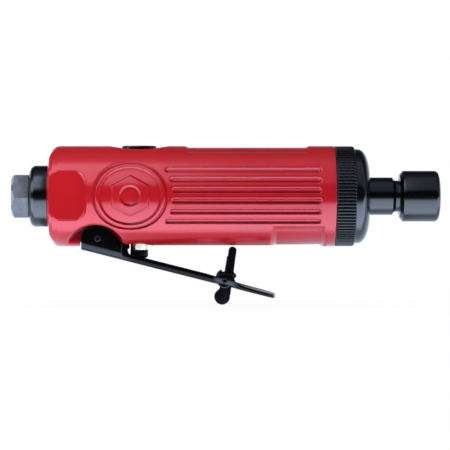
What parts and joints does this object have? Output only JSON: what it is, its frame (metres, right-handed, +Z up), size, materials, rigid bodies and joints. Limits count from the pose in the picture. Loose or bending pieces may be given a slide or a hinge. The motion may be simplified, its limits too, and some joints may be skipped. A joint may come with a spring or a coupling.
{
  "type": "die grinder",
  "caption": "Compact straight air die grinder with a lever throttle, lock-off latch, swivelling exhaust collar, speed regulator, ribbed cast body and quarter inch collet.",
  "frame": {"origin": "centre of the air inlet face, on the spindle axis", "axes": "+X along the spindle from the air inlet towards the collet, +Z up with the throttle lever hanging on the -Z side, Y across the body"},
  "size_m": [0.1647, 0.0388, 0.0612],
  "materials": {
    "red_paint": "gloss",
    "nickel": "satin",
    "screen_mesh": "woven wire",
    "rubber": "moulded",
    "black_oxide": "black oxide, satin gloss",
    "felt": "felt",
    "black_steel": "semi-gloss black on formed sheet",
    "pin_steel": "plain",
    "black_plastic": "moulded",
    "spring_steel": "drawn wire",
    "brass": "turned",
    "gasket_paper": "fibre gasket",
    "cast_plate": "machined casting",
    "bearing_steel": "polished",
    "cage_brass": "stamped",
    "ground_steel": "ground",
    "vane_fibre": "laminated phenolic"
  },
  "bodies": {
    "casing": {"housing": "red_paint", "inlet_bushing": "nickel", "inlet_screen": "screen_mesh", "inlet_oring": "rubber", "valve_bushing": "brass", "regulator_ring": "spring_steel", "rear_gasket": "gasket_paper", "rear_end_plate": "cast_plate", "rear_bearing_outer": "bearing_steel", "cylinder_liner": "ground_steel", "alignment_pin": "pin_steel", "front_end_plate": "cast_plate", "front_bearing_outer": "bearing_steel", "preload_washer": "spring_steel", "clamp_spacer": "ground_steel", "clamp_nut": "black_oxide", "spindle_seal": "felt", "lever_pin": "pin_steel"},
    "deflector": {"exhaust_deflector": "black_oxide", "muffler_felt": "felt"},
    "lever": {"throttle_lever": "black_steel", "latch_pin": "pin_steel", "latch_spring": "spring_steel"},
    "latch": {"lock_latch": "black_plastic"},
    "valve": {"valve_stem": "brass", "stem_button": "black_plastic", "stem_oring": "rubber", "valve_poppet": "rubber", "valve_spring": "spring_steel"},
    "speed_plug": {"regulator": "black_oxide", "regulator_oring": "rubber"},
    "spindle": {"rotor": "ground_steel", "vanes": "vane_fibre", "rotor_clip": "spring_steel", "rear_bearing_inner": "bearing_steel", "front_spacer": "ground_steel", "front_bearing_inner": "bearing_steel", "collet_body": "black_oxide"},
    "rear_balls": {"rear_bearing_balls": "bearing_steel", "rear_bearing_cage": "cage_brass"},
    "front_balls": {"front_bearing_balls": "bearing_steel", "front_bearing_cage": "cage_brass"},
    "collet_sleeve": {"collet": "ground_steel"},
    "collet_cap": {"collet_nut": "black_oxide"}
  },
  "joints": [
    {"name": "lever_press", "type": "hinge", "parent": "casing", "child": "lever", "pos_m": [0.0332, 0, -0.0163], "axis": [0, -1, 0], "range_deg": [0, 10]},
    {"name": "latch_fold", "type": "hinge", "parent": "lever", "child": "latch", "pos_m": [0.082, 0, -0.0325], "axis": [0, 1, 0], "range_deg": [0, 90]},
    {"name": "valve_lift", "type": "slide", "parent": "casing", "child": "valve", "axis": [0, 0, 1], "range_m": [0, 0.0028], "deforming": ["valve_spring"]},
    {"name": "regulator_turn", "type": "hinge", "parent": "casing", "child": "speed_plug", "pos_m": [0.04916, 0, 0.012], "axis": [0, 0, 1], "range_deg": [-90, 90]},
    {"name": "deflector_swivel", "type": "hinge", "parent": "casing", "child": "deflector", "pos_m": [0.01, 0, 0], "axis": [1, 0, 0], "continuous": true},
    {"name": "spindle_spin", "type": "hinge", "parent": "casing", "child": "spindle", "pos_m": [0.12, 0, 0], "axis": [1, 0, 0], "continuous": true},
    {"name": "rear_cage_spin", "type": "hinge", "parent": "casing", "child": "rear_balls", "pos_m": [0.0632, 0, 0], "axis": [1, 0, 0], "continuous": true},
    {"name": "front_cage_spin", "type": "hinge", "parent": "casing", "child": "front_balls", "pos_m": [0.1225, 0, 0], "axis": [1, 0, 0], "continuous": true},
    {"name": "collet_draw", "type": "slide", "parent": "spindle", "child": "collet_sleeve", "axis": [1, 0, 0], "range_m": [0, 0.0015]},
    {"name": "collet_nut_turn", "type": "hinge", "parent": "collet_sleeve", "child": "collet_cap", "pos_m": [0.157, 0, 0], "axis": [1, 0, 0], "range_deg": [0, 540]}
  ],
  "couplings": [
    {"joint": "latch_fold", "follows": "lever_press", "ratio": 9},
    {"joint": "valve_lift", "follows": "lever_press", "m_per_rad": 0.01595},
    {"joint": "rear_cage_spin", "follows": "spindle_spin", "ratio": 0.364},
    {"joint": "front_cage_spin", "follows": "spindle_spin", "ratio": 0.3694},
    {"joint": "collet_draw", "follows": "collet_nut_turn", "m_per_rad": 0.000159}
  ]
}
